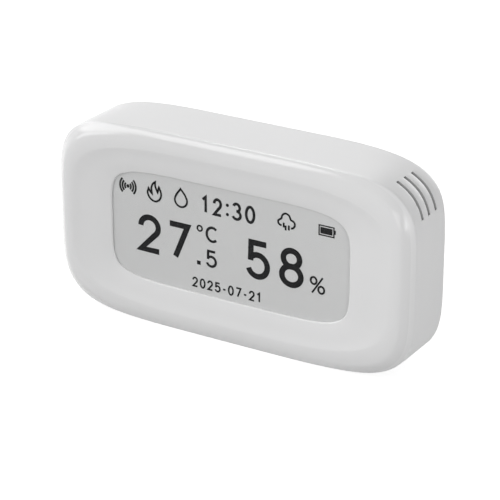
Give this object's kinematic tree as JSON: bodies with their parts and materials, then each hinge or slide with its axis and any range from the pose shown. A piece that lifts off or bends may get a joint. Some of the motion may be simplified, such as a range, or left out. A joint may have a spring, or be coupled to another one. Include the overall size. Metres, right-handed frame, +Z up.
{
  "type": "temperature and humidity sensor",
  "caption": "Free-standing temperature and humidity sensor: white dished frame around a reflective reading window, corner vents, battery door and sprung button in the back.",
  "frame": {"origin": "middle of the case's outline on the surface it stands on", "axes": "+X to the right seen from the front, +Y from the window to the back, +Z up"},
  "size_m": [0.0996, 0.02, 0.0521],
  "materials": {
    "shell_white": "white moulded plastic, glossy in the dish and satin on the wall",
    "cover_white": "white moulded plastic, satin",
    "button_white": "off-white moulded plastic, satin",
    "clear_window": "clear acrylic, low sheen",
    "tape_grey": "thin double-sided adhesive film",
    "black_foam": "closed-cell foam with adhesive",
    "display_grey": "matt reflective film",
    "display_glass": "thin glass",
    "carrier_grey": "moulded plastic",
    "screw_steel": "zinc-plated steel",
    "ribbon_amber": "polyimide film",
    "connector_ivory": "moulded plastic",
    "board_green": "solder mask over glass laminate",
    "radio_green": "solder mask over glass laminate",
    "shield_metal": "tinned sheet steel",
    "chip_black": "moulded epoxy",
    "passive_tan": "ceramic",
    "cell_wrap": "printed film over a steel can, plain",
    "contact_metal": "nickel-plated spring steel",
    "lead_red": "insulated wire",
    "lead_black": "insulated wire"
  },
  "bodies": {
    "case": {"front_shell": "shell_white", "back_cover": "cover_white", "window_lens": "clear_window", "lens_tape": "tape_grey", "panel_gasket": "black_foam", "display_film": "display_grey", "display_glass": "display_glass", "display_carrier": "carrier_grey", "carrier_screws": "screw_steel", "board_screws": "screw_steel", "case_screws": "screw_steel", "display_ribbon": "ribbon_amber", "ribbon_connector": "connector_ivory", "main_board": "board_green", "radio_module": "radio_green", "radio_shield": "shield_metal", "controller_chip": "chip_black", "sensor_chip": "chip_black", "board_passives": "passive_tan", "tact_switch": "chip_black", "cell_upper": "cell_wrap", "cell_lower": "cell_wrap", "contact_positive": "contact_metal", "contact_negative": "contact_metal", "contact_bridge": "contact_metal", "contact_springs": "contact_metal", "lead_positive": "lead_red", "lead_negative": "lead_black"},
    "door": {"battery_door": "cover_white"},
    "button": {"pairing_button": "button_white", "switch_plunger": "chip_black"}
  },
  "joints": [
    {"name": "door_hinge", "type": "hinge", "parent": "case", "child": "door", "pos_m": [0, 0.0092, 0.02745], "axis": [1, 0, 0], "range_deg": [0, 75]},
    {"name": "button_press", "type": "slide", "parent": "case", "child": "button", "axis": [0, -1, 0], "range_m": [0, 0.0006], "stiffness_N_per_m": 2000}
  ]
}
